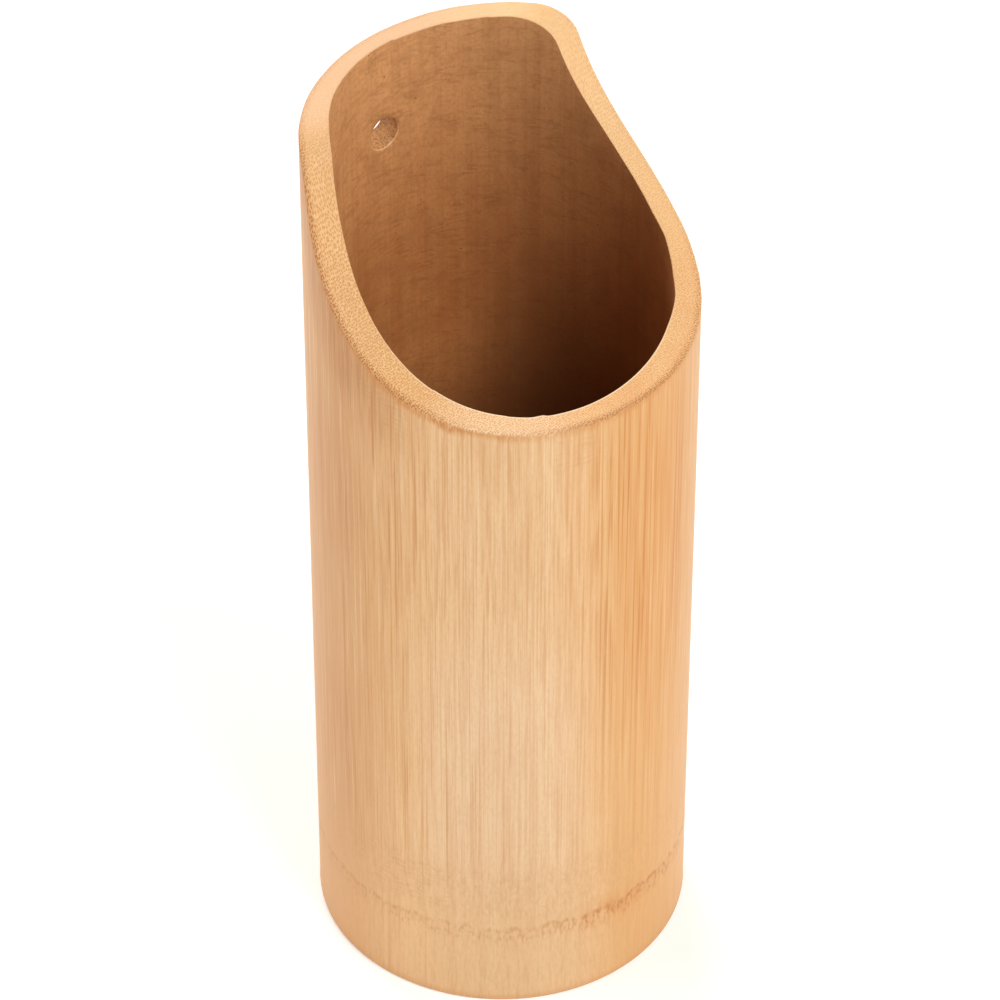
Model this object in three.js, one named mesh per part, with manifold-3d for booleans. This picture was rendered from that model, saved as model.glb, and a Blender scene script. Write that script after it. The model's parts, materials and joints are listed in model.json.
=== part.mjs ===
// A pen holder made from one length of bamboo culm. The cross wall of the node near the
// foot is its floor, and the stub of culm below that node is its foot. The mouth is sawn on
// a curve, from a low lip at the front to a high flat back with a hanging hole.
// Millimetres, +Z up, origin at the middle of the foot, lip towards -Y, back towards +Y.

import * as THREE from "three";
import { mergeVertices } from "three/addons/utils/BufferGeometryUtils.js";
import Module from "manifold-3d";

// Culm: turned smooth outside, left as it grew inside, so its wall is thicker in places
const outerDiameter = 80;
const wallThickness = 5.4;
const wallOffset = { swell: 0.55, thickestAt: -166 };
const wallOval = { swell: 0.65, thickestAt: -15 };
const wallLobes = { swell: 0.6, thickestAt: -70 };

// Mouth: the saw cut as seen from the side, its lean to the left, and its eased edges
const lipHeight = 157.7;
const backRise = 45.8;
const flatBackDepth = 14.1;
const shoulderRadius = 8.7;
const steepAngle = 73.5;
const steepRun = 28.5;
const lipAngle = 5.1;
const lipRun = 23;
const leanAngle = 2.7;
const mouthOuterEasing = 0.7;
const mouthInnerEasing = 0.3;

// Node: the cross wall, the root that it grows from, and the scar around the outside
const floorHeight = 24;
const floorThickness = 4;
const floorDome = 1.4;
const floorEdgeGap = 0.3;
const seatWidth = 3.5;
const rootReach = 8.3;
const rootAbove = 9;
const rootBelow = 7;
const scarHeight = 21.6;
const scarWidth = 2.4;
const scarDepth = 0.3;
const footEasing = 0.6;

// Hanging hole, drilled through the high back a little left of its middle
const holeDiameter = 7.6;
const holeBelowTop = 21.9;
const holeLeftOfMiddle = 0.7;

// Fineness of the facets
const aroundCulm = 96;
const aroundHole = 32;
const alongCut = 60;
const alongEasing = 4;
const acrossMouth = 3;
const alongRoot = 6;
const floorRings = 5;

const bambooColour = 0xe7b984;
const floorColour = 0xc99763;

const outerRadius = outerDiameter / 2;
const backHeight = lipHeight + backRise;
const ringRadius = outerRadius - wallThickness - rootReach;
const floorRadius = ringRadius - floorEdgeGap;
const plugRadius = floorRadius - seatWidth;
const floorUnderside = floorHeight - floorThickness;
const seatHeight = floorHeight - floorThickness / 2;

const radians = THREE.MathUtils.degToRad;
const at = (radius, height) => new THREE.Vector2(radius, height);

const wasm = await Module();
wasm.setup();

// The bore's radius at an angle around the culm, anticlockwise from +X.
function boreRadius(angle) {
  const swell = (part, times) => {
    return part.swell * Math.cos(times * (angle - radians(part.thickestAt)));
  };
  const swells = swell(wallOffset, 1) + swell(wallOval, 2) + swell(wallLobes, 3);
  return outerRadius - wallThickness - swells;
}

// The saw cut from the side: a hollow sweep up from the lip, a round shoulder, a flat back.
function sawCut() {
  const steep = radians(steepAngle);
  const slope = radians(lipAngle);
  const centre = at(outerRadius - flatBackDepth, backHeight - shoulderRadius);
  const lip = at(-outerRadius, lipHeight);
  const shoulderFoot = at(-Math.sin(steep), Math.cos(steep))
    .multiplyScalar(shoulderRadius)
    .add(centre);
  const path = new THREE.Path();
  path.moveTo(lip.x, lip.y);
  path.bezierCurveTo(
    lip.x + lipRun * Math.cos(slope),
    lip.y + lipRun * Math.sin(slope),
    shoulderFoot.x - steepRun * Math.cos(steep),
    shoulderFoot.y - steepRun * Math.sin(steep),
    shoulderFoot.x,
    shoulderFoot.y,
  );
  path.absarc(centre.x, centre.y, shoulderRadius, Math.PI / 2 + steep, Math.PI / 2, true);
  path.lineTo(outerRadius, backHeight);
  return path.getPoints(alongCut);
}

const cut = sawCut();
const lean = Math.tan(radians(leanAngle));

// Height of the cut over a point of the culm.
function mouthHeight(x, y) {
  const depth = THREE.MathUtils.clamp(y, -outerRadius, outerRadius);
  const next = Math.max(1, cut.findIndex((point) => point.x >= depth));
  const [before, after] = [cut[next - 1], cut[next]];
  return THREE.MathUtils.mapLinear(depth, before.x, after.x, before.y, after.y) + lean * x;
}

// An eased edge, from start round a corner to end.
function easedEdge(start, corner, end) {
  return new THREE.QuadraticBezierCurve(start, corner, end).getPoints(alongEasing);
}

// A hollow quarter ellipse from start to end, filling the corner between them.
function rootFillet(start, corner, end) {
  return Array.from({ length: alongRoot + 1 }, (_, step) => {
    const turn = (step / alongRoot) * (Math.PI / 2);
    const towardsStart = start.clone().sub(corner).multiplyScalar(1 - Math.sin(turn));
    const towardsEnd = end.clone().sub(corner).multiplyScalar(1 - Math.cos(turn));
    return corner.clone().add(towardsStart).add(towardsEnd);
  });
}

// The wall's section at one angle, as radius and height: round the foot, up the outside,
// over the mouth, down the bore and round the seat of the floor.
function wallSection(angle) {
  const across = (radius) => {
    return at(radius, mouthHeight(radius * Math.cos(angle), radius * Math.sin(angle)));
  };
  const bore = boreRadius(angle);
  const outerEdge = outerRadius - mouthOuterEasing;
  const innerEdge = bore + mouthInnerEasing;
  const below = (point, drop) => at(point.x, point.y - drop);
  const face = Array.from({ length: acrossMouth - 1 }, (_, step) => {
    return across(THREE.MathUtils.lerp(outerEdge, innerEdge, (step + 1) / acrossMouth));
  });
  return [
    ...easedEdge(at(bore, footEasing), at(bore, 0), at(bore + footEasing, 0)),
    ...easedEdge(at(outerRadius - footEasing, 0), at(outerRadius, 0), at(outerRadius, footEasing)),
    at(outerRadius, scarHeight - scarWidth / 2),
    at(outerRadius - scarDepth, scarHeight),
    at(outerRadius, scarHeight + scarWidth / 2),
    ...easedEdge(
      below(across(outerRadius), mouthOuterEasing),
      across(outerRadius),
      across(outerEdge),
    ),
    ...face,
    ...easedEdge(across(innerEdge), across(bore), below(across(bore), mouthInnerEasing)),
    ...rootFillet(
      at(bore, floorHeight + rootAbove),
      at(bore, floorHeight),
      at(ringRadius, floorHeight),
    ),
    at(ringRadius, seatHeight),
    at(ringRadius - seatWidth, seatHeight),
    ...rootFillet(
      at(ringRadius - seatWidth, floorUnderside),
      at(bore, floorUnderside),
      at(bore, floorUnderside - rootBelow),
    ),
  ];
}

// A closed skin through sections set evenly around +Z, each a loop of as many points.
function loftAround(sectionAt, count) {
  const angles = Array.from({ length: count }, (_, i) => (i / count) * 2 * Math.PI);
  const sections = angles.map(sectionAt);
  const size = sections[0].length;
  const positions = sections.flatMap((section, i) => {
    return section.flatMap(({ x, y }) => [x * Math.cos(angles[i]), x * Math.sin(angles[i]), y]);
  });
  const index = [];
  for (let i = 0; i < count; i++) {
    for (let j = 0; j < size; j++) {
      const [here, next] = [i * size, ((i + 1) % count) * size];
      const after = (j + 1) % size;
      index.push(here + j, next + j, next + after);
      index.push(here + j, next + after, here + after);
    }
  }
  const geometry = new THREE.BufferGeometry();
  geometry.setAttribute("position", new THREE.Float32BufferAttribute(positions, 3));
  geometry.setIndex(index);
  return geometry;
}

// A closed geometry as a solid that can be cut.
function toSolid(geometry) {
  const bare = geometry.clone();
  bare.deleteAttribute("normal");
  bare.deleteAttribute("uv");
  const merged = mergeVertices(bare);
  const mesh = new wasm.Mesh({
    numProp: 3,
    vertProperties: merged.attributes.position.array,
    triVerts: new Uint32Array(merged.index.array),
  });
  return new wasm.Manifold(mesh);
}

// A cut solid back as a geometry.
function toGeometry(solid) {
  const mesh = solid.getMesh();
  const geometry = new THREE.BufferGeometry();
  geometry.setAttribute("position", new THREE.BufferAttribute(mesh.vertProperties, 3));
  geometry.setIndex(new THREE.BufferAttribute(mesh.triVerts, 1));
  geometry.computeVertexNormals();
  return geometry;
}

// The culm from foot to mouth, with the hanging hole drilled through its back.
function culmWall() {
  const drillRadius = holeDiameter / 2;
  const drill = new THREE.CylinderGeometry(drillRadius, drillRadius, outerDiameter, aroundHole);
  drill.translate(-holeLeftOfMiddle, outerRadius, backHeight - holeBelowTop);
  return toGeometry(toSolid(loftAround(wallSection, aroundCulm)).subtract(toSolid(drill)));
}

// The cross wall: a disc domed upwards, its rebated edge resting on the root's seat.
function nodeFloor() {
  const domed = (radius, height, reach) => {
    return at(radius, height + floorDome * (1 - (radius / reach) ** 2));
  };
  const rings = Array.from({ length: floorRings + 1 }, (_, ring) => ring / floorRings);
  const underside = rings.map((share) => domed(share * plugRadius, floorUnderside, plugRadius));
  const top = rings.map((share) => domed(share * floorRadius, floorHeight, floorRadius));
  const rebate = [at(plugRadius, seatHeight), at(floorRadius, seatHeight)];
  const profile = [...underside, ...rebate, ...top.reverse()];
  return new THREE.LatheGeometry(profile, aroundCulm).rotateX(Math.PI / 2);
}

function piece(name, geometry, color, roughness) {
  const material = new THREE.MeshStandardMaterial({ color, roughness, metalness: 0 });
  const mesh = new THREE.Mesh(geometry, material);
  mesh.name = name;
  return mesh;
}

const holder = new THREE.Group();
holder.add(piece("culm_wall", culmWall(), bambooColour, 0.55));
holder.add(piece("node_floor", nodeFloor(), floorColour, 0.75));

export default holder;
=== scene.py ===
# Looks of a pen holder made from one length of bamboo culm: the scraped outside, the end grain
# of its sawn mouth and foot, the raw bore and the cross wall of its node.
# Metres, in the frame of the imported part: +Z up, lip towards -Y, high back towards +Y.

import json
import math
from collections import namedtuple

import bpy
import numpy as np
from mathutils import Matrix, Vector


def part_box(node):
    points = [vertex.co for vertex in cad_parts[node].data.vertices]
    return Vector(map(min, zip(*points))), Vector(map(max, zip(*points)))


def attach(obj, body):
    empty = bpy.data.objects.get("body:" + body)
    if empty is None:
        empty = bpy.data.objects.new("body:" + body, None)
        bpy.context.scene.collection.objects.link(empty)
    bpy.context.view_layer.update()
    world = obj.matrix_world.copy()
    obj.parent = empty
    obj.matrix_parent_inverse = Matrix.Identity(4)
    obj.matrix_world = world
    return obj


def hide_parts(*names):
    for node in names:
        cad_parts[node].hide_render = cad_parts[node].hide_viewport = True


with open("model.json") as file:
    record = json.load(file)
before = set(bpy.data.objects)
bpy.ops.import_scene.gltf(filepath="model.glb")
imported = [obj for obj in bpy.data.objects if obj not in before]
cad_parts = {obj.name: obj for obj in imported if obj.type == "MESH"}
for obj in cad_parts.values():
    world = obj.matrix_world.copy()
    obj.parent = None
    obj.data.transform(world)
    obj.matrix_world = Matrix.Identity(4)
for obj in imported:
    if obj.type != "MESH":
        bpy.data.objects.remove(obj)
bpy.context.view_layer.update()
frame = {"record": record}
scene = bpy.context.scene

MM = 0.001

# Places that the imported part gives
WALL_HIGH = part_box("culm_wall")[1]
OPENINGS = {o["name"]: o["box_m"] for o in frame["record"]["physics"]["openings"]}
OUTER_RADIUS = WALL_HIGH.x
HOLE_X, _, HOLE_Z = (Vector(OPENINGS["hanging_hole"][0]) + Vector(OPENINGS["hanging_hole"][1])) / 2

# Wall and mouth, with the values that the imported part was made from
WALL = 5.4 * MM
WALL_SWELLS = (  # how much thicker, how many times around, and where it is thickest
    (0.55 * MM, 1, math.radians(-166)),
    (0.65 * MM, 2, math.radians(-15)),
    (0.6 * MM, 3, math.radians(-70)),
)
LIP_HEIGHT = 157.7 * MM
BACK_HEIGHT = 203.5 * MM
FLAT_BACK_DEPTH = 14.1 * MM
SHOULDER_RADIUS = 8.7 * MM
STEEP_ANGLE = math.radians(73.5)
STEEP_RUN = 28.5 * MM
LIP_ANGLE = math.radians(5.1)
LIP_RUN = 23 * MM
LEAN = math.tan(math.radians(2.7))
OUTER_EASING = 0.7 * MM
INNER_EASING = 0.3 * MM
FOOT_EASING = 0.6 * MM

# Node
FLOOR_TOP = 24 * MM
FLOOR_THICKNESS = 4 * MM
FLOOR_DOME = 1.4 * MM
RING_RADIUS = 26.3 * MM
SEAT_WIDTH = 3.5 * MM
ROOT_ABOVE = 9 * MM
ROOT_BELOW = 7 * MM
SCAR_HEIGHT = 21.6 * MM
SCAR_WAVER = 0.45 * MM
SCAR_DEPTH = 0.1 * MM
SCAR_HALF_WIDTH = 0.5 * MM
SCAR_BAND = 4.6 * MM

# Hanging hole
HOLE_RADIUS = 3.5 * MM
HOLE_SLANT_X = -0.4 * MM
HOLE_SLANT_Z = 1.7 * MM
HOLE_OUTER_EASING = 0.2 * MM
HOLE_INNER_EASING = 0.4 * MM
HOLE_WEAR = 0.12 * MM

# How far growth, the saw and the scraper leave the surface uneven
SCRAPE_DEPTH = 0.06 * MM
FIBRE_DEPTH = 0.025 * MM
POCK_DEPTH = 0.05 * MM
BORE_UNEVENNESS = 0.16 * MM
SAW_UNEVENNESS = 0.1 * MM
EDGE_TRIM = 0.22 * MM
TRIM_WIDTH = 0.15 * MM
EDGE_TRIMS = 30
TRIM_REACH = 9 * MM
MEMBRANE_UNEVENNESS = 0.25 * MM

# How much of the bore's unevenness its swells, its fibres and its creases make
SWELL_SHARE = 0.55
FIBRE_SHARE = 0.25
CREASE_SHARE = 0.2

# Fineness of the meshes. NODE_ROWS has the heights up to which rows lie that far apart.
AROUND = 360
SWEEP_STEPS = 160
SHOULDER_STEPS = 40
NODE_ROWS = ((15 * MM, 1.2 * MM), (26.5 * MM, 0.38 * MM), (38 * MM, 1.2 * MM))
WALL_ROWS = 66
BORE_ROWS = 66
FOOT_EDGE_ROWS = 4
FOOT_FACE_ROWS = 6
MOUTH_EDGE_ROWS = 9
MOUTH_FACE_ROWS = 8
MOUTH_TRIM_ROWS = 6
ROOT_ABOVE_ROWS = 12
ROOT_BELOW_ROWS = 9
RECESS_ROWS = 4
HOLE_COLUMNS = 16
HOLE_ROWS = 6
HOLE_RINGS = 5
HOLE_WALL_RINGS = 8
SETTLING_ROUNDS = 5
FLOOR_RINGS = 34
SHARP_ANGLE = math.radians(50)

# Camera, fitted to the outlines in the photograph
CAMERA_AZIMUTH = -41.14
CAMERA_ELEVATION = 40.374
CAMERA_DISTANCE = 1.0825
CAMERA_TARGET = Vector((0, 0, 0.10698))
CAMERA_ROLL = math.radians(0.093)
CAMERA_LENS = 188.02
CAMERA_SHIFT = -0.00212

# Random reliefs, each the sum of that many waves
SEED = 7
RELIEF_WAVES = 24
POCK_WAVES = 50

draws = np.random.default_rng(SEED)
theta = np.arange(AROUND) * 2 * math.pi / AROUND


def direction(azimuth, elevation):
    """Unit vector towards a viewer at that azimuth, from -Y anticlockwise, and elevation."""
    a, e = math.radians(azimuth), math.radians(elevation)
    return Vector((math.sin(a) * math.cos(e), -math.cos(a) * math.cos(e), math.sin(e)))


def make_camera():
    """The camera at the photograph's place, turned by its roll about the line of sight."""
    back = direction(CAMERA_AZIMUTH, CAMERA_ELEVATION)
    level = direction(CAMERA_AZIMUTH + 90, 0)
    upright = back.cross(level)
    right = math.cos(CAMERA_ROLL) * level + math.sin(CAMERA_ROLL) * upright
    up = back.cross(right)
    data = bpy.data.cameras.new("camera")
    data.lens = CAMERA_LENS
    data.shift_x = CAMERA_SHIFT
    camera = bpy.data.objects.new("camera", data)
    turned = Matrix((right, up, back)).transposed().to_4x4()
    camera.matrix_world = Matrix.Translation(CAMERA_TARGET + CAMERA_DISTANCE * back) @ turned
    scene.collection.objects.link(camera)
    scene.camera = camera


# Shape of the culm

# A ring is one row of points around the culm, as its radii and its heights, and rows are rings
# in order along the wall's section: round the foot, up the outside, over the mouth, down the
# bore and round the seat of the cross wall.


def ripple(fewest, most, length, count=RELIEF_WAVES):
    """A random relief from -1 to 1, as a function of angle and height: waves that go from
    fewest to most times around and are about that long upwards."""
    times = draws.integers(fewest, most + 1, count)
    climbs = draws.normal(0, math.pi / length, count)
    phases = draws.uniform(0, 2 * math.pi, count)

    def relief(angle, height=0.0):
        waves = sum(np.cos(n * angle + k * height + p) for n, k, p in zip(times, climbs, phases))
        return np.clip(waves / math.sqrt(2 * count), -1, 1)

    return relief


def bore_radius(angle):
    """The radius of the bore at an angle around the culm."""
    swells = (swell * np.cos(times * (angle - top)) for swell, times, top in WALL_SWELLS)
    return OUTER_RADIUS - WALL - sum(swells)


def saw_cut():
    """The cut seen from the side, as depths from front to back and their heights."""
    centre = np.array([OUTER_RADIUS - FLAT_BACK_DEPTH, BACK_HEIGHT - SHOULDER_RADIUS])
    steep = np.array([math.cos(STEEP_ANGLE), math.sin(STEEP_ANGLE)])
    gentle = np.array([math.cos(LIP_ANGLE), math.sin(LIP_ANGLE)])
    lip = np.array([-OUTER_RADIUS, LIP_HEIGHT])
    shoulder_foot = centre + SHOULDER_RADIUS * np.array([-steep[1], steep[0]])
    handles = lip + LIP_RUN * gentle, shoulder_foot - STEEP_RUN * steep
    t = np.linspace(0, 1, SWEEP_STEPS)[:, None]
    sweep = (1 - t) ** 3 * lip + t**3 * shoulder_foot
    sweep += 3 * t * (1 - t) ** 2 * handles[0] + 3 * t**2 * (1 - t) * handles[1]
    turn = np.linspace(math.pi / 2 + STEEP_ANGLE, math.pi / 2, SHOULDER_STEPS)[1:, None]
    shoulder = centre + SHOULDER_RADIUS * np.hstack([np.cos(turn), np.sin(turn)])
    return np.vstack([sweep, shoulder, [[OUTER_RADIUS, BACK_HEIGHT]]]).T


def knife_trims():
    """How far a knife moved the inner edge of the mouth, in short straight cuts."""
    corners = np.sort(draws.uniform(0, 2 * math.pi, EDGE_TRIMS))
    depths = draws.uniform(-EDGE_TRIM, EDGE_TRIM, EDGE_TRIMS)
    return np.interp(theta, corners, depths, period=2 * math.pi)


cut_depths, cut_heights = saw_cut()
saw_waver = SAW_UNEVENNESS * (ripple(2, 24, 1)(theta) - 1) / 2
edge_trim = knife_trims()
scrapes = ripple(8, 46, 150 * MM)
fibres = ripple(50, 95, 90 * MM)
scar_waver = ripple(2, 40, 1)
scar_strength = ripple(6, 70, 1)
pocks = ripple(40, 110, 2.5 * MM, POCK_WAVES)
bore_swell = ripple(5, 30, 120 * MM)
bore_fibres = ripple(25, 90, 60 * MM)
bore_creases = ripple(0, 12, 3 * MM)
hole_wear = ripple(3, 14, 1)
membrane = ripple(2, 26, 7 * MM)


def ring(radius, height):
    """One row of points around the culm, from radii and heights or one of each for all."""
    return np.stack(np.broadcast_arrays(radius, height, theta)[:2])


def mouth_ring(radius):
    """The ring where a tube of that radius meets the sawn face."""
    height = np.interp(radius * np.sin(theta), cut_depths, cut_heights)
    height += LEAN * radius * np.cos(theta) + saw_waver
    return ring(radius, np.minimum(height, WALL_HIGH.z))


def lowered(rings, drop):
    """The rings moved down by that drop."""
    return rings - ring(0, drop)


def between(first, last, count):
    """Rows set evenly from the ring first to the ring last, without either."""
    t = np.linspace(0, 1, count + 2)[1:-1, None, None]
    return (1 - t) * first + t * last


def eased(start, corner, end, count):
    """Rows over an eased edge from start round a corner to end."""
    t = np.linspace(0, 1, count)[:, None, None]
    return (1 - t) ** 2 * start + 2 * t * (1 - t) * corner + t**2 * end


def root(start, corner, end, count):
    """Rows along a hollow quarter ellipse from start to end, which fills the corner."""
    turn = np.linspace(0, math.pi / 2, count)[:, None, None]
    return corner + (start - corner) * (1 - np.sin(turn)) + (end - corner) * (1 - np.cos(turn))


def outer_relief(height):
    """How far the outside lies within its full radius: scraping, fibres and the node's scar."""
    scar_at = SCAR_HEIGHT + SCAR_WAVER * scar_waver(theta)
    groove = np.exp(-(((height - scar_at) / SCAR_HALF_WIDTH) ** 2))
    band = np.exp(-(((height - scar_at + SCAR_BAND / 2) / (SCAR_BAND / 2)) ** 4))
    depth = SCRAPE_DEPTH * (1 + scrapes(theta, height)) / 2
    depth += FIBRE_DEPTH * (1 + fibres(theta, height)) / 2
    depth += SCAR_DEPTH * (0.6 + 0.4 * scar_strength(theta)) * groove
    return depth + POCK_DEPTH * band * np.clip(pocks(theta, height), 0, 1)


def outer_rows():
    """The outside from the foot's easing to the mouth's, with fine rows at the node."""
    levels, at = [], FOOT_EASING
    for top, step in NODE_ROWS:
        fine = np.arange(at + step, top, step)
        levels += [ring(OUTER_RADIUS, level) for level in fine]
        at = fine[-1]
    last = lowered(mouth_ring(OUTER_RADIUS), OUTER_EASING)
    rows = np.stack([*levels, *between(levels[-1], last, WALL_ROWS), last])
    rows[:, 0] -= outer_relief(rows[:, 1])
    return rows


def bore_rows(top, bottom):
    """The bore between two rings, trimmed by the knife near the mouth and uneven below."""
    rows = between(top, bottom, BORE_ROWS)
    drop = top[1] - rows[:, 1]
    trimmed = np.clip(1 - drop / TRIM_REACH, 0, 1)
    grown = np.clip(drop / TRIM_REACH, 0, 1) * np.clip((rows[:, 1] - bottom[1]) / TRIM_REACH, 0, 1)
    height = rows[:, 1]
    relief = SWELL_SHARE * bore_swell(theta, height) + FIBRE_SHARE * bore_fibres(theta, height)
    relief += CREASE_SHARE * bore_creases(theta, height)
    rows[:, 0] = bore_radius(theta) + edge_trim * trimmed + BORE_UNEVENNESS * grown * relief
    return rows


# A band has its rows, its share of the colour map, and how far each row is sawn and how far raw.
Band = namedtuple("Band", "name rows share sawn raw", defaults=(0, 0))


def foot_bands(bore):
    """From the foot of the bore over the flat ring that the holder stands on to the outside."""
    bore_foot, inner = ring(bore, FOOT_EASING), ring(bore + FOOT_EASING, 0)
    outer, outer_foot = ring(OUTER_RADIUS - FOOT_EASING, 0), ring(OUTER_RADIUS, FOOT_EASING)
    edge = eased(outer, ring(OUTER_RADIUS, 0), outer_foot, FOOT_EDGE_ROWS)
    return [
        Band("foot_bore", eased(bore_foot, ring(bore, 0), inner, FOOT_EDGE_ROWS), 1, sawn=1),
        Band("foot_face", between(inner, outer, FOOT_FACE_ROWS), 6, sawn=1),
        Band("foot_edge", edge, 1),
    ]


def mouth_bands(outer_top, bore, bore_top):
    """From the top of the outside over the sawn face to the top of the bore."""
    wall = outer_top[0]
    outer_edge = mouth_ring(wall - OUTER_EASING)
    inner_edge = mouth_ring(bore + INNER_EASING)
    trim = mouth_ring(bore + INNER_EASING + TRIM_WIDTH)
    edge = eased(outer_top, mouth_ring(wall), outer_edge, MOUTH_EDGE_ROWS)[1:]
    inner = eased(inner_edge, mouth_ring(bore), bore_top, MOUTH_TRIM_ROWS)
    sawn = np.sqrt(np.linspace(0.2, 1, len(edge)))
    raw = [0, *np.linspace(0.3, 1, len(inner))]
    return [
        Band("mouth_edge", edge, 5, sawn=sawn),
        Band("mouth_face", between(outer_edge, trim, MOUTH_FACE_ROWS), 10, sawn=1),
        Band("mouth_trim", np.stack([trim, *inner]), 2, sawn=1, raw=raw),
    ]


def node_bands(bore, root_top):
    """The root that the cross wall grows from, its seat, and the recess under the node."""
    under = FLOOR_TOP - FLOOR_THICKNESS
    seat_height = under + FLOOR_THICKNESS / 2
    root_end, plug = ring(RING_RADIUS, FLOOR_TOP), ring(RING_RADIUS - SEAT_WIDTH, under)
    root_foot, bore_foot = ring(bore, under - ROOT_BELOW), ring(bore, FOOT_EASING)
    root_above = root(root_top, ring(bore, FLOOR_TOP), root_end, ROOT_ABOVE_ROWS)
    seat = np.stack([ring(RING_RADIUS - reach, seat_height) for reach in (0, SEAT_WIDTH)])
    return [
        Band("root_above", root_above, 4, raw=1),
        Band("seat", seat, 0.5, raw=1),
        Band("root_below", root(plug, ring(bore, under), root_foot, ROOT_BELOW_ROWS), 3, raw=1),
        Band("recess", between(root_foot, bore_foot, RECESS_ROWS), 1.5, raw=1),
    ]


def culm_bands():
    """All bands in their order, which together close the skin of the culm."""
    bore = bore_radius(theta)
    trimmed_bore = bore + edge_trim
    outside = outer_rows()
    bore_top = lowered(mouth_ring(trimmed_bore), INNER_EASING)
    root_top = ring(bore, FLOOR_TOP + ROOT_ABOVE)
    return [
        *foot_bands(bore),
        Band("outside", outside, 42),
        *mouth_bands(outside[-1], trimmed_bore, bore_top),
        Band("bore", bore_rows(bore_top, root_top), 23, raw=1),
        *node_bands(bore, root_top),
    ]


# The hole's wall has its own share of the colour map, a third of the map's width. Its points
# are marked by a drop in mm that no other sawn point has.
HOLE_SHARE = 1.5
HOLE_MAP_WIDTH = 1 / 3
HOLE_DROP = 20.0
Skin = namedtuple("Skin", "points marks spans levels")


def in_space(rows):
    """The points of rows of radii and heights."""
    return np.stack([rows[:, 0] * np.cos(theta), rows[:, 0] * np.sin(theta), rows[:, 1]], 2)


def culm_skin(bands):
    """The rows as points, how far each is sawn and raw and how far it lies below the mouth,
    where each band starts and ends, and the level of each row on the colour map."""
    rows = np.concatenate([band.rows for band in bands])
    sawn, raw, steps, spans, first = [], [], [], {}, 0
    total = HOLE_SHARE + sum(band.share for band in bands)
    for band in bands:
        count = len(band.rows)
        sawn.append(np.broadcast_to(band.sawn, count))
        raw.append(np.broadcast_to(band.raw, count))
        steps.append(np.full(count, band.share / total / count))
        spans[band.name] = (first, first + count)
        first += count
    levels = HOLE_SHARE / total + np.concatenate([[0], np.cumsum(np.concatenate(steps))])
    drop = (mouth_ring(OUTER_RADIUS)[1] - rows[:, 1]) / MM
    sawn, raw = (np.concatenate(mark)[:, None] + 0 * theta for mark in (sawn, raw))
    return Skin(in_space(rows), np.stack([sawn, raw, drop], 2), spans, levels)


def ring_quads(a, b):
    """The corners of quads between two rings of point numbers, or of places on the map."""
    return np.stack([a, np.roll(a, -1, 0), np.roll(b, -1, 0), b], 1)


class Shell:
    """A mesh as it grows: its points, marks of the points, faces, and faces on the colour map."""

    def __init__(self):
        self.points, self.marks, self.faces, self.maps = [], [], [], []
        self.count = 0

    def add_points(self, points, marks):
        self.points.append(points)
        self.marks.append(np.broadcast_to(marks, (len(points), 3)))
        self.count += len(points)
        return np.arange(self.count - len(points), self.count)

    def add_faces(self, corners, places):
        self.faces.append(corners)
        self.maps.append(places)


def hole_window(skin, band):
    """The rows, upwards, and columns around the hole in a band, and the loop around them."""
    first, last = skin.spans[band]
    column = round(AROUND * math.atan2(OUTER_RADIUS, HOLE_X) / (2 * math.pi))
    columns = column - HOLE_COLUMNS // 2 + np.arange(HOLE_COLUMNS + 1)
    heights = skin.points[first:last, column, 2]
    row = first + int(np.argmin(np.abs(heights - HOLE_Z)))
    rows = row - HOLE_ROWS // 2 + np.arange(HOLE_ROWS + 1)
    if heights[0] > heights[-1]:
        rows = rows[::-1]
    lower = [(rows[0], c) for c in columns[:-1]]
    far = [(r, columns[-1]) for r in rows[:-1]]
    upper = [(rows[-1], c) for c in columns[:0:-1]]
    near = [(r, columns[0]) for r in rows[:0:-1]]
    return rows, columns, np.array(lower + far + upper + near)


def back_depth(x, inside):
    """How far behind the axis the back wall lies at x, outside or in the bore."""
    if not inside:
        return np.sqrt(OUTER_RADIUS**2 - x**2)
    y = np.full_like(x, OUTER_RADIUS - WALL)
    for _ in range(SETTLING_ROUNDS):
        y = np.sqrt(bore_radius(np.arctan2(y, x)) ** 2 - x**2)
    return y


# Angles around the hole, from the one that faces the first point of the window around it
HOLE_POINTS = 2 * (HOLE_COLUMNS + HOLE_ROWS)
hole_turn = np.arange(HOLE_POINTS) * 2 * math.pi / HOLE_POINTS
hole_turn -= math.pi / 2 + math.pi * HOLE_COLUMNS / HOLE_POINTS


def hole_ring(radius, slanted):
    """Points around the hole, where slanted is 0 at its inner end and 1 at its outer end."""
    x = HOLE_X + slanted * HOLE_SLANT_X - radius * np.cos(hole_turn)
    z = HOLE_Z + slanted * HOLE_SLANT_Z + radius * np.sin(hole_turn)
    return x, z


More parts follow.
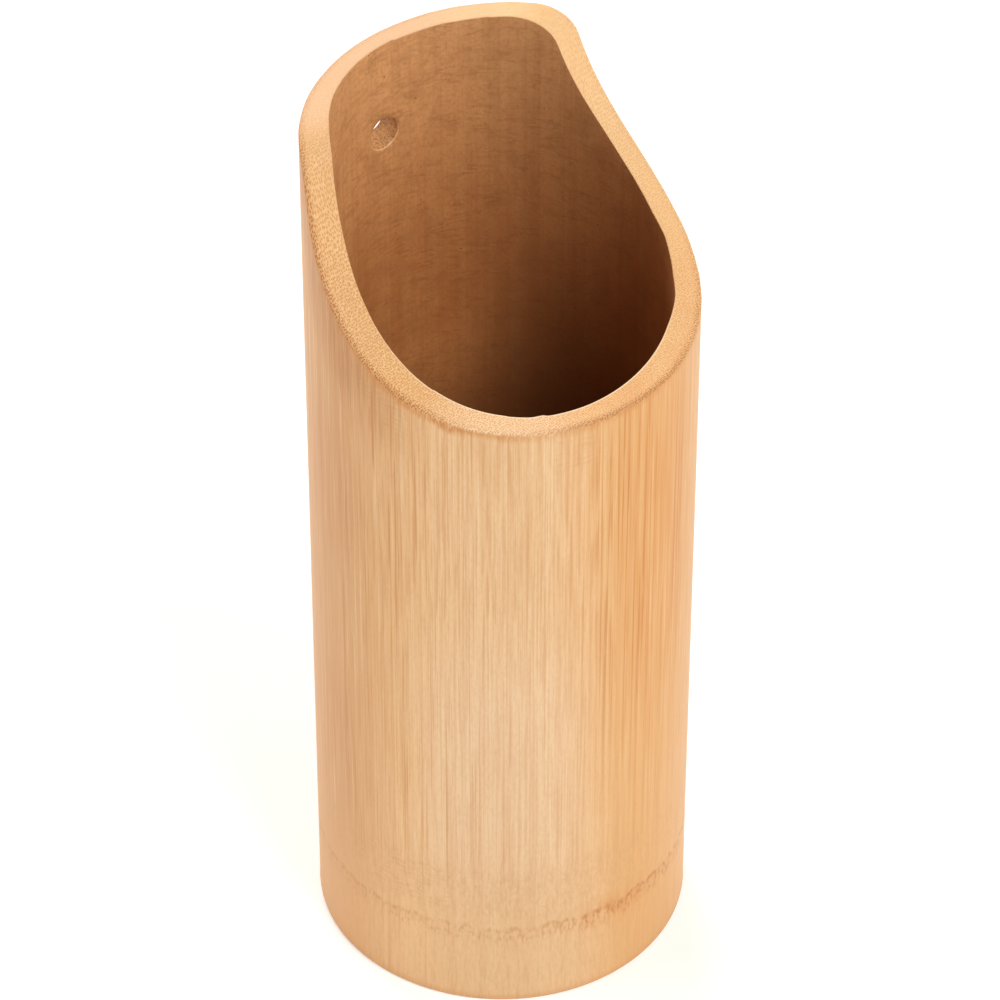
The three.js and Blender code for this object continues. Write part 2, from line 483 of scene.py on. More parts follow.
def hole_collar(skin, band):
    """The loop around the hole, then rings from it to the hole's edge, each with its places on
    the map."""
    inside = band == "bore"
    rows, columns, loop = hole_window(skin, band)
    edge = skin.points[loop[:, 0], loop[:, 1]]
    easing = HOLE_INNER_EASING if inside else HOLE_OUTER_EASING
    x, z = hole_ring(HOLE_RADIUS + easing, 0 if inside else 1)
    proud = edge[:, 1] - back_depth(edge[:, 0], inside)
    edge_map = np.stack([loop[:, 1] / AROUND, skin.levels[loop[:, 0]]], 1)
    heights = skin.points[rows, columns[HOLE_COLUMNS // 2], 2]
    angle = np.arctan2(back_depth(x, inside), x)
    hole_map = np.stack([angle / (2 * math.pi), np.interp(z, heights, skin.levels[rows])], 1)
    rings = []
    for share in np.linspace(0, 1, HOLE_RINGS + 1)[1:]:
        at_x = edge[:, 0] + share * (x - edge[:, 0])
        at_z = edge[:, 2] + share * (z - edge[:, 2])
        at_y = back_depth(at_x, inside) + (1 - share) * proud
        rings.append((np.stack([at_x, at_y, at_z], 1), (1 - share) * edge_map + share * hole_map))
    return loop, edge_map, rings


def add_wall(shell, skin):
    """The culm's skin but for the two windows around the hole. Gives the points' numbers."""
    rows = len(skin.points)
    number = shell.add_points(skin.points.reshape(-1, 3), skin.marks.reshape(-1, 3))
    number = number.reshape(rows, AROUND)
    keep = np.ones((rows, AROUND), bool)
    for band in ("outside", "bore"):
        window_rows, window_columns, _ = hole_window(skin, band)
        keep[np.ix_(np.sort(window_rows)[:-1], window_columns[:-1])] = False
    row, column = np.nonzero(keep)
    above, beside = (row + 1) % rows, (column + 1) % AROUND
    corners = number[row, column], number[row, beside], number[above, beside], number[above, column]
    left, right = column / AROUND, (column + 1) / AROUND
    low, high = skin.levels[row], skin.levels[row + 1]
    places = np.stack([left, low, right, low, right, high, left, high], 1).reshape(-1, 4, 2)
    shell.add_faces(np.stack(corners, 1), places)
    return number


def add_collar(shell, skin, number, band):
    """The patch between a window and the hole's edge. Gives the edge's points and their depths."""
    loop, before_map, rings = hole_collar(skin, band)
    before = number[loop[:, 0], loop[:, 1]]
    raw = 1 if band == "bore" else 0
    for points, ring_map in rings:
        after = shell.add_points(points, (0, raw, HOLE_DROP))
        quads, places = ring_quads(before, after), ring_quads(before_map, ring_map)
        if raw:
            quads, places = quads[:, ::-1], places[:, ::-1]
        shell.add_faces(quads, places)
        before, before_map = after, ring_map
    return before, rings[-1][0][:, 1]


def add_hole_wall(shell, skin, outer_edge, outer_depth, bore_edge, bore_depth):
    """The hole's wall from its outer edge to its inner one, worn a little off the round."""
    outer_depth = outer_depth - HOLE_OUTER_EASING
    bore_depth = bore_depth + HOLE_INNER_EASING
    around = np.linspace(0, HOLE_MAP_WIDTH, HOLE_POINTS + 1)
    level_step = skin.levels[0] / (HOLE_WALL_RINGS + 2)
    before = outer_edge
    for index in range(HOLE_WALL_RINGS + 1):
        share = index / (HOLE_WALL_RINGS - 1)
        if index == HOLE_WALL_RINGS:
            after = bore_edge
        else:
            radius = HOLE_RADIUS + share * hole_wear(hole_turn) * HOLE_WEAR
            x, z = hole_ring(radius, 1 - share)
            depth = outer_depth + share * (bore_depth - outer_depth)
            after = shell.add_points(np.stack([x, depth, z], 1), (1, 0, HOLE_DROP))
        low, high = index * level_step, (index + 1) * level_step
        places = [[(a, low), (b, low), (b, high), (a, high)] for a, b in zip(around, around[1:])]
        shell.add_faces(ring_quads(before, after), np.array(places))
        before = after


def make_culm():
    """The culm wall: its skin, then a collar around each end of the hole, and the hole's wall."""
    skin = culm_skin(culm_bands())
    shell = Shell()
    number = add_wall(shell, skin)
    ends = [*add_collar(shell, skin, number, "outside"), *add_collar(shell, skin, number, "bore")]
    add_hole_wall(shell, skin, *ends)
    return build("bamboo_culm", shell)


# The cross wall's top and underside are two discs in opposite corners of the colour map, each
# with its rebate around it. These are places on the map.
TOP_DISC_MIDDLE = 0.25
UNDER_DISC_MIDDLE = 0.75
DISC_REACH = 0.235
TOP_EDGE_REACH = 0.245
UNDER_EDGE_REACHES = 0.25, 0.24


def domed(radius, height):
    """Rows of a domed disc with shallow wrinkles, from the one around its middle to its edge."""
    shares = np.linspace(0, 1, FLOOR_RINGS + 1)[1:, None, None]
    rows = np.concatenate([ring(share * radius, height) for share in shares]).reshape(-1, 2, AROUND)
    dome = FLOOR_DOME * (1 - shares**2)
    wrinkled = MEMBRANE_UNEVENNESS * shares * (1 - shares) * 4 * membrane(theta, rows[:, :1])
    rows[:, 1:] += dome + wrinkled
    return rows


def floor_rows():
    """Rows from the middle of the top over the rebated edge to the middle of the underside."""
    under, seat_height = FLOOR_TOP - FLOOR_THICKNESS, FLOOR_TOP - FLOOR_THICKNESS / 2
    plug_radius = RING_RADIUS - SEAT_WIDTH
    rebate = np.stack([ring(RING_RADIUS, seat_height), ring(plug_radius, seat_height)])
    return np.concatenate([domed(RING_RADIUS, FLOOR_TOP), rebate, domed(plug_radius, under)[::-1]])


def floor_maps():
    """The places on the map of the faces between those rows, then of both middles."""
    reach = np.linspace(0, DISC_REACH, FLOOR_RINGS + 1)[1:]
    unit = np.stack([np.cos(theta), np.sin(theta)], 1)
    top_disc = [TOP_DISC_MIDDLE + r * unit for r in (*reach, TOP_EDGE_REACH)]
    under_disc = [UNDER_DISC_MIDDLE + r * unit for r in (*UNDER_EDGE_REACHES, *reach[::-1])]
    maps = [ring_quads(b, a) for disc in (top_disc, under_disc) for a, b in zip(disc, disc[1:])]
    return [*maps, top_disc[0][None], under_disc[-1][None, ::-1]]


def make_floor():
    """The cross wall: a domed disc with a rebated edge."""
    rows = floor_rows()
    shell = Shell()
    number = shell.add_points(in_space(rows).reshape(-1, 3), (0, 1, HOLE_DROP))
    number = number.reshape(len(rows), AROUND)
    faces = [ring_quads(after, before) for before, after in zip(number, number[1:])]
    faces += [number[:1], number[-1:, ::-1]]
    for corners, places in zip(faces, floor_maps()):
        shell.add_faces(corners, places)
    return build("node_membrane", shell)


def build(name, shell):
    """The shell as a piece of the fixed body, with its marks and its colour map."""
    points, marks = np.concatenate(shell.points), np.concatenate(shell.marks)
    used = np.unique(np.concatenate([block.ravel() for block in shell.faces]))
    renumber = np.zeros(len(points), int)
    renumber[used] = np.arange(len(used))
    corners = [face for block in shell.faces for face in renumber[block].tolist()]
    mesh = bpy.data.meshes.new(name)
    mesh.from_pydata(points[used].tolist(), [], corners)
    for column, label in enumerate(("sawn", "raw", "drop")):
        layer = mesh.attributes.new(label, "FLOAT", "POINT")
        layer.data.foreach_set("value", marks[used, column].astype(np.float32))
    layer = mesh.uv_layers.new(name="OFBake")
    places = np.concatenate([block.reshape(-1, 2) for block in shell.maps])
    layer.uv.foreach_set("vector", places.astype(np.float32).ravel())
    mesh.shade_smooth()
    mesh.set_sharp_from_angle(angle=SHARP_ANGLE)
    piece = bpy.data.objects.new(name, mesh)
    scene.collection.objects.link(piece)
    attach(piece, "root")
    return piece


# Finishes

# A share says from 0 to 1 how far something shows at a place. Angles around the culm are in
# degrees anticlockwise from +X, so the lip is at -90 and the back at 90. Colours are written as
# six hexadecimal digits of sRGB.

# Colours of the scraped outside
SKIN_LIGHT = "F3C48D"
SKIN_TAN = "EDBA7D"
# The next two colours are a painted sheen on the front of the outside.
SKIN_SHEEN_CREAM = "F8D7AC"
SKIN_SHEEN_IVORY = "FFE1BE"
SKIN_SUNNED = "D69A59"
SKIN_HONEY = "E5AB66"
BROAD_STREAK = "DEA068"
FINE_STROKE = "D5975E"
PALE_STROKE = "FADBAE"
DARK_STROKE = "D08A44"
SHORT_GRAIN = "CF935A"
GOLDEN = "DDA25A"
GOLDEN_DARK_STROKE = "D58C38"
GOLDEN_PALE_STROKE = "F7CE96"
GOLDEN_CORE = "D78D3B"
GOLDEN_LINE = "CB7A28"
RUDDY_STREAK = "C98345"
NODE_MARBLING = "CF9A62"
NODE_GRAIN = "CF965C"
SCAR_RUST = "DC9048"
SCAR_BROWN = "C07430"
SCAR_DASH = "C67C34"
FOOT_EDGE = "DB9C5C"
MOUTH_SHADE = "C88340"
MOUTH_STROKE = "B26C28"
MOUTH_BROWN = "D48E48"
CURL = "CB9052"

# Colours of the sawn faces and the hole, and a painted highlight along the knife-trimmed inner edge
SAWN_LIGHT = "F1C085"
SAWN_TAN = "ECB479"
SAWN_FRESH = "FDD9AE"
# A painted glare: the back of the sawn face is toned this muted pale.
SAWN_BACK_GLARE = "E9B98D"
SAWN_BROWN = "E3AA6C"
SAWN_PALE = "F8CC92"
SAWN_FLECK = "FBD79C"
SAWN_EDGE = "BA783A"
FIBRE_END = "C78440"
CLOSE_FIBRE_END = "AF6A2A"
DRILLED_LIGHT = "BA8249"
DRILLED_DARK = "8A5A2E"
INNER_EDGE_HIGHLIGHT = "FFE3B8"

# Colours of the raw wall and the papery cross wall
RAW_LIGHT = "CC8648"
RAW_BROWN = "BB753C"
# This colour paints light on the bore high up, near the mouth.
RAW_LIT_HIGH = "DFA46A"
RAW_LOW = "DB9C60"
RAW_PALE_STREAK = "D49C62"
RAW_DARK_STREAK = "8E5527"
RAW_LINE = "A3642D"
RAW_MOTTLE = "9C5E2E"
# The next two colours are painted shade low in the bore on the right.
RAW_SHADE = "5C391B"
RAW_OLIVE_SHADE = "4A3D1E"
RAW_CLOUD = "9A5D2B"
RAW_WRINKLE = "8A5022"
RAW_SPECK = "5E3A1C"
PAPERY_LIGHT = "A87445"
PAPERY_BROWN = "8C5A31"

WHITE = (1, 1, 1, 1)

# Relief in mm that is too fine for the meshes
FINE_STROKE_HOLLOW = 0.015
PALE_STROKE_SWELL = 0.01
SCAR_DASH_HOLLOW = 0.015
FIBRE_END_HOLLOW = 0.03
WRINKLE_HOLLOW = 0.02
CLOUD_SWELL = 0.07

SPECK_SPACING = 6
WAVE_BAND_SPACING = math.pi / 10  # of a wave texture with a scale of 1
MEMBRANE_SHARE = 0.8

SKIN_ROUGHNESS = 0.46
SAWN_ROUGHNESS = 0.58
RAW_ROUGHNESS = 0.7
MEMBRANE_ROUGHNESS = 0.8


def linear(code):
    """A colour written as six hexadecimal digits of sRGB, as linear red, green, blue, alpha."""
    parts = [int(code[i : i + 2], 16) / 255 for i in (0, 2, 4)]
    return *(c / 12.92 if c <= 0.04045 else ((c + 0.055) / 1.055) ** 2.4 for c in parts), 1


def grey(value):
    """A number as a colour, so that it can be mixed as one."""
    return (value,) * 4


class Finish:
    """A material worked out from places on the object, in millimetres."""

    def __init__(self, name):
        self.material = bpy.data.materials.new(name)
        self.material.use_nodes = True
        self.nodes = self.material.node_tree.nodes
        self.links = self.material.node_tree.links
        self.shader = self.nodes["Principled BSDF"]
        metres = self.node("TexCoord").outputs["Object"]
        self.place = self.vector("SCALE", metres, Scale=1 / MM)
        self.height = self.node("SeparateXYZ", Vector=self.place).outputs["Z"]
        across = self.vector("MULTIPLY", self.place, (1, 1, 0))
        self.radius = self.vector("LENGTH", across, output="Value")
        self.outward = self.vector("NORMALIZE", across)

    def put(self, socket, value):
        """Feeds an input with another node's output, or with a fixed value."""
        if isinstance(value, bpy.types.NodeSocket):
            self.links.new(value, socket)
        else:
            socket.default_value = value

    def node(self, kind, *inputs, settings=None, **named):
        """A new node with its settings, its inputs in order, and its inputs by name."""
        node = self.nodes.new("ShaderNode" + kind)
        for key, value in (settings or {}).items():
            setattr(node, key, value)
        for key, value in [*enumerate(inputs), *named.items()]:
            self.put(node.inputs[key], value)
        return node

    def vector(self, operation, *inputs, output="Vector", **named):
        settings = {"operation": operation}
        return self.node("VectorMath", *inputs, settings=settings, **named).outputs[output]

    def sum(self, *values):
        return self.chain("ADD", values)

    def product(self, *values):
        return self.chain("MULTIPLY", values)

    def chain(self, operation, values):
        total = values[0]
        for value in values[1:]:
            total = self.node("Math", total, value, settings={"operation": operation}).outputs[0]
        return total

    def fade(self, value, low, high, start=0.0, end=1.0):
        """A smooth change from start to end as value goes from low to high."""
        settings = {"interpolation_type": "SMOOTHSTEP", "clamp": True}
        return self.node("MapRange", value, low, high, start, end, settings=settings).outputs[0]

    def within(self, value, start, full, leave, end):
        """A smooth rise to 1 as value goes from start to full, and a fall from leave to end."""
        return self.product(self.fade(value, start, full), self.fade(value, leave, end, 1, 0))

    def mark(self, name):
        """What the mesh's points are marked with under that name."""
        return self.node("Attribute", settings={"attribute_name": name}).outputs["Fac"]

    def noise(self, width, length=None, detail=2.0, distortion=0.0):
        """Noise from 0 to 1 with spots of that width in mm, drawn out upright to that length."""
        stretched = (1 / width, 1 / width, 1 / (length or width))
        place = self.vector("MULTIPLY", self.place, stretched)
        node = self.node("TexNoise", Vector=place, Scale=1.0, Detail=detail, Distortion=distortion)
        return node.outputs["Fac"]

    def strokes(self, width, length, low, high):
        """Straight upright lines of that width in mm, broken into strokes of about that length."""
        lines = self.fade(self.noise(width, 3.5 * length, 1), low, high)
        return self.product(lines, self.fade(self.noise(2.5 * width, length, 1), 0.38, 0.6))

    def curls(self, spacing):
        """Wavy lines across the fibres, about that far apart in mm, as where the grain curls."""
        settings = {"wave_type": "BANDS", "bands_direction": "Z"}
        scale = WAVE_BAND_SPACING / spacing
        place = {"Vector": self.place, "Scale": scale, "Distortion": 8.0, "Detail": 2.0}
        return self.node("TexWave", settings=settings, **place).outputs["Fac"]

    def fibre_ends(self, spacing, wide, narrow):
        """1 on the cut ends of upright fibres set about that far apart, and 0 between them."""
        place = self.vector("SCALE", self.place, Scale=1 / spacing)
        settings = {"voronoi_dimensions": "2D"}
        cells = self.node("TexVoronoi", settings=settings, Vector=place, Scale=1.0, Randomness=0.6)
        return self.fade(cells.outputs["Distance"], narrow, wide, 1, 0)

    def facing(self, angle, width):
        """1 at that angle around the culm, fading to 0 at width degrees from it."""
        turned = math.radians(angle)
        towards = (math.cos(turned), math.sin(turned), 0)
        cosine = self.vector("DOT_PRODUCT", self.outward, towards, output="Value")
        return self.fade(cosine, math.cos(math.radians(width)), 1)

    def level(self, low, high, soft):
        """1 between two heights, fading to 0 beyond them."""
        return self.within(self.height, low - soft, low + soft, high - soft, high + soft)

    def mix(self, share, first, second):
        """The first colour where share is 0, the second where it is 1, and between them a mix."""
        colours = [linear(c) if isinstance(c, str) else c for c in (first, second)]
        node = self.node("Mix", share, settings={"data_type": "RGBA"})
        for socket, value in zip(("A", "B"), colours):
            self.put(next(s for s in node.inputs if s.name == socket and s.type == "RGBA"), value)
        return next(s for s in node.outputs if s.type == "RGBA")

    def tint(self, colour, share, strength, towards):
        """The colour moved towards another one, where share is 1 by that strength."""
        return self.mix(self.product(share, strength), colour, towards)

    def finish(self, colour, relief, roughness):
        """The material with that colour, relief in mm and roughness."""
        bump = self.node("Bump", Height=relief, Distance=MM)
        self.put(self.shader.inputs["Base Color"], colour)
        self.put(self.shader.inputs["Roughness"], roughness)
        self.put(self.shader.inputs["Normal"], bump.outputs["Normal"])
        return self.material


def skin_ground(f):
    """Colour of the outside under its fibres: pale at the front left, where a sheen is painted, and
    browner to both sides.
    """
    colour = f.mix(f.fade(f.noise(30, 90, 1), 0.3, 0.7), SKIN_LIGHT, SKIN_TAN)
    # Painted sheen: the outside is made paler where it faces the front left, and more so low down.
    colour = f.tint(colour, f.facing(-124, 36), 0.4, SKIN_SHEEN_CREAM)
    low_front_sheen = f.product(f.facing(-130, 34), f.level(36, 96, 16))
    colour = f.tint(colour, low_front_sheen, 0.36, SKIN_SHEEN_IVORY)
    colour = f.tint(colour, f.facing(150, 50), 0.76, SKIN_SUNNED)
    colour = f.tint(colour, f.facing(-62, 46), 0.7, SKIN_HONEY)
    return f.tint(colour, f.fade(f.noise(2.0, 60), 0.35, 0.75), 0.22, BROAD_STREAK)


def skin_fibres(f, colour, above_node):
    """Upright strokes over the ground, bolder towards the mouth and on the left. Gives the
    shares of the fine and the pale ones too."""
    left = f.facing(178, 50)
    bold = f.sum(0.5, f.fade(f.height, 70, 130, 0, 0.34), f.product(f.facing(176, 50), 0.25))
    bold = f.product(bold, above_node)
    fine = f.product(f.strokes(0.28, 13, 0.36, 0.68), bold)
    pale = f.product(f.strokes(0.34, 17, 0.5, 0.66), bold, f.sum(1, f.product(left, -0.25)))
    dark = f.product(f.strokes(0.4, 22, 0.53, 0.67), f.sum(bold, f.product(left, 0.8)))
    colour = f.tint(colour, fine, 0.55, FINE_STROKE)
    colour = f.tint(colour, pale, 0.5, PALE_STROKE)
    colour = f.tint(colour, dark, 0.42, DARK_STROKE)
    colour = f.tint(colour, f.fade(f.noise(0.5, 1.6), 0.4, 0.7), 0.14, SHORT_GRAIN)
    return colour, fine, pale


def sun_browned(f, colour, above_node):
    """The golden band at the front right with its brown lines, and the ruddy streaks on the
    left."""
    golden = f.product(f.facing(-76, 42), f.fade(f.height, 20, 140, 0.3, 1))
    dark, pale = f.strokes(0.3, 15, 0.42, 0.62), f.strokes(0.45, 26, 0.52, 0.64)
    colour = f.tint(colour, golden, 0.56, GOLDEN)
    colour = f.tint(colour, f.product(golden, dark), 0.5, GOLDEN_DARK_STROKE)
    colour = f.tint(colour, f.product(golden, pale), 0.4, GOLDEN_PALE_STROKE)
    streaky = f.fade(f.noise(0.8, 40), 0.36, 0.6)
    core = f.product(f.facing(-79, 20), f.level(70, 150, 22))
    colour = f.tint(colour, f.product(core, streaky), 0.56, GOLDEN_CORE)
    lines = f.fade(f.noise(0.55, 90, 0), 0.55, 0.66)
    thin = f.product(lines, f.fade(f.noise(1.6, 20, 1), 0.3, 0.5))
    lined = f.sum(0.16, f.product(f.facing(-84, 26), f.level(84, 156, 26), 0.55))
    colour = f.tint(colour, f.product(thin, lined), above_node, GOLDEN_LINE)
    ruddy = f.product(f.facing(172, 18), f.sum(f.level(112, 148, 16), f.level(40, 78, 14)))
    return f.tint(colour, f.product(ruddy, streaky), 0.4, RUDDY_STREAK)


def node_marks(f, colour):
    """The marbled skin above the scar, the scar with its rust and its dashes, and the short
    grain of the stub. Gives the share of the dashes too."""
    marbled = f.product(f.level(24, 38, 3), f.fade(f.noise(1.0, 1.8, 3, 0.8), 0.42, 0.68))
    colour = f.tint(colour, marbled, 0.22, NODE_MARBLING)
    waver = f.product(f.sum(f.noise(2.2, 60, 3), -0.5), 4.2)
    from_scar = f.sum(f.height, waver, -SCAR_HEIGHT / MM)
    bold = f.sum(0.4, f.product(f.facing(-84, 34), 0.36))
    rust = f.product(f.facing(-92, 18), f.within(from_scar, -9, -1, 0, 5))
    colour = f.tint(colour, f.product(rust, f.fade(f.noise(1.6, 6), 0.35, 0.6)), 0.5, SCAR_RUST)
    broken = f.fade(f.noise(1.3, 5, 3), 0.38, 0.65)
    scar = f.product(f.within(from_scar, -1.2, -0.1, -0.1, 0.9), broken)
    colour = f.tint(colour, scar, bold, SCAR_BROWN)
    speckled = f.fade(f.noise(0.62, 1.8, 2, 0.4), 0.42, 0.7)
    dashes = f.product(f.within(from_scar, -5.4, -2.4, -0.6, 0.1), speckled)
    colour = f.tint(colour, dashes, bold, SCAR_DASH)
    short = f.product(f.level(-5, 40, 4), f.fade(f.noise(0.55, 5), 0.42, 0.72))
    colour = f.tint(colour, short, 0.2, NODE_GRAIN)
    colour = f.tint(colour, f.fade(f.height, 0.4, 2.6, 1, 0), 0.5, FOOT_EDGE)
    return colour, dashes


def mouth_marks(f, colour):
    """The shaded flank on the left, the curled grain at the lip and the node, and the browned
    edge along the mouth."""
    drop = f.mark("drop")
    shaded = f.product(f.fade(drop, 4, 26, 1, 0), f.facing(164, 46))
    colour = f.tint(colour, shaded, 0.5, MOUTH_SHADE)
    shaded_strokes = f.product(shaded, f.strokes(0.26, 9, 0.42, 0.6))
    colour = f.tint(colour, shaded_strokes, 0.5, MOUTH_STROKE)
    under_lip = f.within(drop, 1.5, 3, 9, 13)
    curly = f.product(under_lip, f.sum(f.product(f.facing(-109, 9), 0.6), f.facing(-172, 16)))
    curly = f.sum(curly, f.product(f.facing(-166, 26), f.level(25, 38, 4), 0.7))
    curly = f.product(curly, f.fade(f.noise(2.4, 3), 0.34, 0.6))
    colour = f.tint(colour, f.product(curly, f.curls(1.3)), 0.32, CURL)
    ragged = f.sum(drop, f.product(f.noise(0.45, 3), 1.8), f.product(f.noise(6, 40, 1), 2.6))
    browned = f.product(f.fade(ragged, 2.8, 4.8, 1, 0), f.fade(f.noise(0.4, 2), 0.2, 0.6))
    bold = f.sum(0.25, f.product(f.facing(-152, 34), 0.75), f.product(f.facing(-94, 34), 0.4))
    return f.tint(colour, browned, bold, MOUTH_BROWN)


def scraped_skin(f):
    """Colour and relief of the outside: fine fibres, sun-browned bands and the node's scar."""
    above_node = f.fade(f.sum(f.height, f.product(f.noise(1.3, 24), 14)), 34, 52)
    colour, fine, pale = skin_fibres(f, skin_ground(f), above_node)
    colour = sun_browned(f, colour, above_node)
    colour, dashes = node_marks(f, colour)
    relief = f.sum(f.product(fine, -FINE_STROKE_HOLLOW), f.product(pale, PALE_STROKE_SWELL))
    return mouth_marks(f, colour), f.sum(relief, f.product(dashes, -SCAR_DASH_HOLLOW))


def sawn_ground(f, depth, fresh, right):
    """Colour of a sawn face between the ends of its fibres, browned towards the skin."""
    colour = f.mix(f.fade(f.noise(9, 30), 0.3, 0.7), SAWN_LIGHT, SAWN_TAN)
    colour = f.tint(colour, fresh, 0.6, SAWN_FRESH)
    # Painted glare on the back of the sawn face.
    colour = f.tint(colour, f.facing(98, 62), 0.8, SAWN_BACK_GLARE)
    colour = f.tint(colour, f.facing(176, 44), 0.35, SAWN_BROWN)
    colour = f.tint(colour, right, 0.6, SAWN_PALE)
    colour = f.tint(colour, f.fade(f.noise(0.7, 0.7, 3), 0.4, 0.75), 0.3, SAWN_BROWN)
    flecks = f.product(f.fade(f.noise(0.42, 0.6, 1), 0.5, 0.66), f.facing(176, 62))
    colour = f.tint(colour, flecks, 0.42, SAWN_FLECK)
    bold = f.sum(0.15, f.product(f.facing(174, 46), 0.4), f.product(f.facing(-92, 34), 0.4))
    bold = f.sum(bold, f.product(fresh, -0.15), f.product(right, -0.12))
    return f.tint(colour, f.fade(depth, 0.1, 1.5, 1, 0), bold, SAWN_EDGE)


def end_grain(f):
    """Colour and relief of a sawn face: the ends of fibres, closest together near the skin."""
    depth = f.sum(OUTER_RADIUS / MM, f.product(f.radius, -1))
    close = f.fade(depth, 0.8, 2.0, 1, 0)
    fresh, right = f.facing(-131, 28), f.facing(16, 66)
    ends = f.mix(close, f.fibre_ends(0.48, 0.5, 0.1), f.fibre_ends(0.44, 0.52, 0.15))
    # Painted glare: the fibre ends fade towards the back; they also fade a little on the right
    # side.
    glare_fade = f.sum(f.product(f.facing(88, 78), -0.6), f.product(right, -0.3))
    bold = f.sum(0.66, f.product(close, 0.25), f.product(f.facing(180, 55), 0.14), glare_fade)
    bold = f.sum(bold, f.product(fresh, close, -0.4), f.product(right, close, -0.25))
    end_colour = f.mix(close, FIBRE_END, CLOSE_FIBRE_END)
    colour = f.tint(sawn_ground(f, depth, fresh, right), ends, bold, end_colour)
    return in_hole_and_trim(f, colour), f.product(ends, -FIBRE_END_HOLLOW)


def in_hole_and_trim(f, colour):
    """The sawn colour turned to the hole's speckled wall, and a painted highlight on the
    knife-trimmed inner edge at the front.
    """
    drop = f.mark("drop")
    limits = (HOLE_DROP + step for step in (-1.1, -0.5, 0.5, 1.1))
    drilled = f.within(drop, *limits)
    speckled = f.fade(f.noise(0.45, 0.4, 2), 0.48, 0.62)
    colour = f.tint(colour, drilled, 0.9, f.mix(speckled, DRILLED_LIGHT, DRILLED_DARK))
    trimmed = f.fade(f.mark("raw"), 0.02, 0.3)
    # Painted highlight: the knife-trimmed band along the inner edge is made pale cream at the
    # front.
    return f.tint(colour, f.product(trimmed, f.facing(-112, 80)), 0.95, INNER_EDGE_HIGHLIGHT)


def raw_ground(f):
    """Colour of the raw wall: streaks and mottles, with painted light high up near the mouth and
    painted shade low down on the right.
    """
    colour = f.mix(f.fade(f.noise(14, 22, 3), 0.3, 0.7), RAW_LIGHT, RAW_BROWN)
    # Painted light: the bore is made paler high up, where light falls in at the mouth.
    colour = f.tint(colour, f.fade(f.height, 130, 205), 0.7, RAW_LIT_HIGH)
    colour = f.tint(colour, f.fade(f.noise(3.6, 160, 1), 0.4, 0.7), 0.2, RAW_PALE_STREAK)
    colour = f.tint(colour, f.fade(f.noise(2.2, 130, 1), 0.45, 0.7), 0.1, RAW_DARK_STREAK)
    colour = f.tint(colour, f.fade(f.noise(0.6, 90, 1), 0.45, 0.7), 0.13, RAW_LINE)
    colour = f.tint(colour, f.fade(f.noise(5, 6, 4, 0.6), 0.42, 0.68), 0.24, RAW_MOTTLE)
    colour = f.tint(colour, f.fade(f.height, 90, 135, 1, 0), 0.22, RAW_LOW)
    # Painted shade low down on the right of the bore, with an olive tone where it is deepest.
    shade = f.product(f.facing(4, 72), f.fade(f.height, 60, 190, 1, 0.35))
    colour = f.tint(colour, shade, 0.86, RAW_SHADE)
    olive_shade = f.product(f.facing(2, 56), f.fade(f.height, 60, 170, 1, 0))
    return f.tint(colour, olive_shade, 0.5, RAW_OLIVE_SHADE)


def raw_wall(f):
    """Colour and relief of the wall that the saw and the scraper never touched."""
    cloudy = f.noise(0.7, 0.8, 4)
    colour = f.tint(raw_ground(f), f.fade(cloudy, 0.42, 0.7), 0.26, RAW_CLOUD)
    folded = f.noise(7, 1.8, 2, 0.5)
    broken = f.fade(f.noise(5, 2.5), 0.35, 0.65)
    wrinkles = f.product(f.within(folded, 0.42, 0.5, 0.5, 0.56), broken)
    colour = f.tint(colour, wrinkles, 0.3, RAW_WRINKLE)
    place = f.vector("SCALE", f.place, Scale=1 / SPECK_SPACING)
    cells = f.node("TexVoronoi", settings={"voronoi_dimensions": "3D"}, Vector=place, Scale=1.0)
    specks = f.fade(cells.outputs["Distance"], 0.025, 0.05, 1, 0)
    colour = f.tint(colour, specks, 0.65, RAW_SPECK)
    relief = f.sum(f.product(wrinkles, -WRINKLE_HOLLOW), f.product(cloudy, CLOUD_SWELL))
    return colour, relief


def membrane_tone(f, colour, share):
    """The raw wall's colour turned to that of the papery cross wall and its root."""
    cloudy = f.fade(f.noise(2.2, 2.2, 3, 1.5), 0.35, 0.7)
    return f.mix(share, colour, f.mix(cloudy, PAPERY_LIGHT, PAPERY_BROWN))


def culm_finish():
    f = Finish("bamboo_culm")
    skin, skin_relief = scraped_skin(f)
    grain, grain_relief = end_grain(f)
    raw, raw_relief = raw_wall(f)
    raw = membrane_tone(f, raw, f.product(f.fade(f.height, 22, 36, 1, 0), MEMBRANE_SHARE))
    sawn = f.fade(f.mark("sawn"), 0.3, 0.8)
    inner = f.fade(f.mark("raw"), 0.7, 0.9)
    colour = f.mix(inner, f.mix(sawn, skin, grain), raw)
    relief = f.mix(inner, f.mix(sawn, skin_relief, grain_relief), raw_relief)
    roughness = f.mix(sawn, grey(SKIN_ROUGHNESS), grey(SAWN_ROUGHNESS))
    return f.finish(colour, relief, f.mix(inner, roughness, grey(RAW_ROUGHNESS)))


def membrane_finish():
    f = Finish("node_membrane")
    raw, relief = raw_wall(f)
    return f.finish(membrane_tone(f, raw, MEMBRANE_SHARE), relief, MEMBRANE_ROUGHNESS)


# Stage

FLOOR_REACH = 4.0
FLOOR_COLOUR = "EFEDEA"
FLOOR_ROUGHNESS = 0.9
FLOOR_GLOW = 0.34
FAR_FLOOR_GLOW = 0.75
GLOW_RISE = (350, 1800)  # distances from the axis in mm between which the floor grows paler
FLOOR_GAP = 0.02 * MM
LAMP_DISTANCE = 1.6
LAMP_SIZE = 0.9
LAMPS = (  # name, azimuth, elevation and watts
    ("front", 0, 45, 15.2),
    ("right", 40, 15, 3.4),
    ("back", 160, 45, 14.4),
    ("left", -120, 15, 7.8),
)
WORLD_LEVEL = 0.25


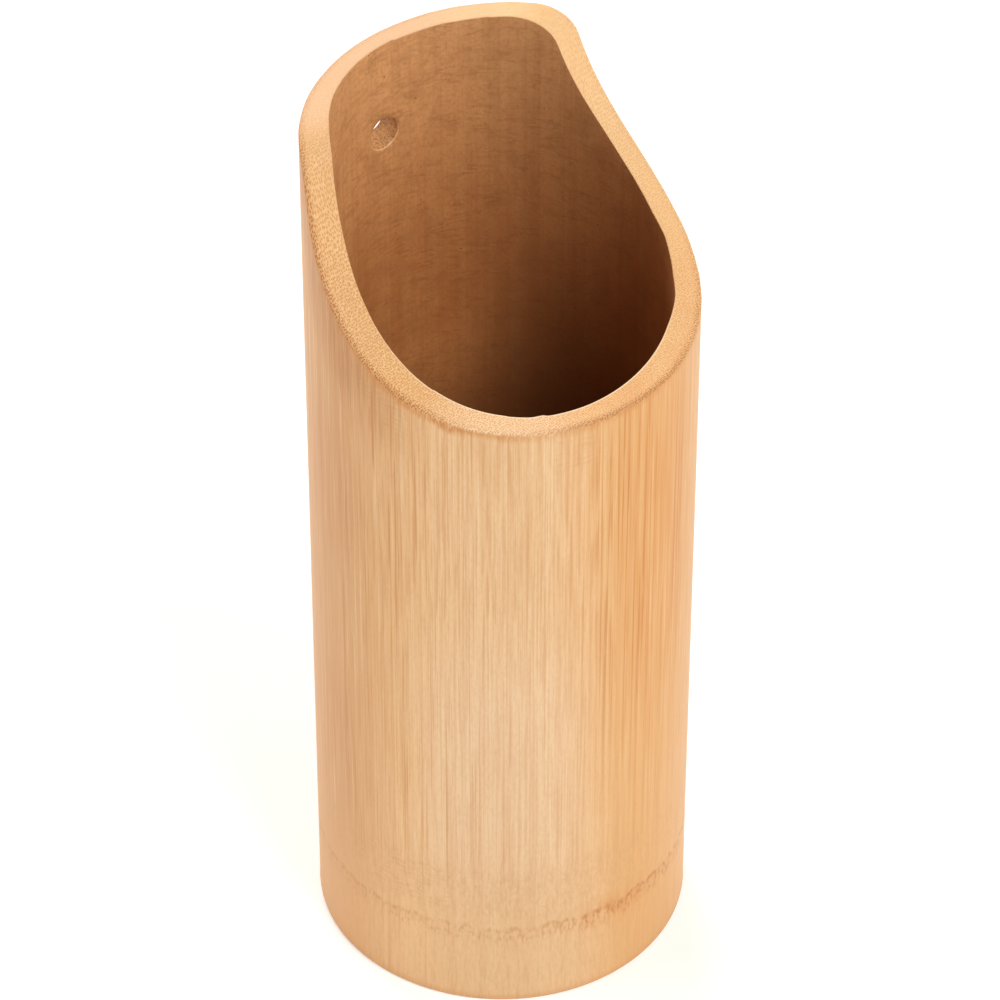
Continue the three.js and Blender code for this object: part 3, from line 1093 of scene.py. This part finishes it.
def make_stage():
    """A pale floor just under the foot, which glows a little where it is seen or mirrored."""
    mesh = bpy.data.meshes.new("floor")
    turns = (-1, -1), (1, -1), (1, 1), (-1, 1)
    corners = [(x * FLOOR_REACH, y * FLOOR_REACH, -FLOOR_GAP) for x, y in turns]
    mesh.from_pydata(corners, [], [(0, 1, 2, 3)])
    stage = bpy.data.objects.new("floor", mesh)
    scene.collection.objects.link(stage)
    f = Finish("pale_floor")
    path = f.node("LightPath").outputs
    seen = f.sum(path["Is Camera Ray"], path["Is Glossy Ray"], path["Is Transmission Ray"])
    f.put(f.shader.inputs["Base Color"], linear(FLOOR_COLOUR))
    f.put(f.shader.inputs["Roughness"], FLOOR_ROUGHNESS)
    f.put(f.shader.inputs["Emission Color"], WHITE)
    glow = f.fade(f.radius, *GLOW_RISE, FLOOR_GLOW, FAR_FLOOR_GLOW)
    f.put(f.shader.inputs["Emission Strength"], f.product(seen, glow))
    mesh.materials.append(f.material)


def make_world():
    """A world that lights the holder softly and is white where it is seen or mirrored."""
    world = bpy.data.worlds.new("studio")
    world.use_nodes = True
    scene.world = world
    nodes, links = world.node_tree.nodes, world.node_tree.links
    light = nodes["Background"]
    light.inputs["Color"].default_value = WHITE
    path = nodes.new("ShaderNodeLightPath").outputs
    seen = path["Is Camera Ray"]
    for ray in ("Is Glossy Ray", "Is Transmission Ray"):
        either = nodes.new("ShaderNodeMath")
        links.new(seen, either.inputs[0])
        links.new(path[ray], either.inputs[1])
        seen = either.outputs[0]
    level = nodes.new("ShaderNodeMapRange")
    level.inputs["To Min"].default_value = WORLD_LEVEL
    links.new(seen, level.inputs["Value"])
    links.new(level.outputs["Result"], light.inputs["Strength"])


def soft_light(name, azimuth, elevation, watts):
    """A round soft lamp that faces the middle of the holder."""
    data = bpy.data.lights.new(name, "AREA")
    data.shape = "DISK"
    data.size = LAMP_SIZE
    data.energy = watts
    lamp = bpy.data.objects.new(name, data)
    towards = direction(azimuth, elevation)
    lamp.location = CAMERA_TARGET + LAMP_DISTANCE * towards
    lamp.rotation_euler = towards.to_track_quat("Z", "Y").to_euler()
    scene.collection.objects.link(lamp)


make_camera()
culm = make_culm()
culm.data.materials.append(culm_finish())
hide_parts("culm_wall")
floor = make_floor()
floor.data.materials.append(membrane_finish())
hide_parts("node_floor")
make_stage()
make_world()
for lamp in LAMPS:
    soft_light(*lamp)
scene.view_settings.view_transform = "Standard"
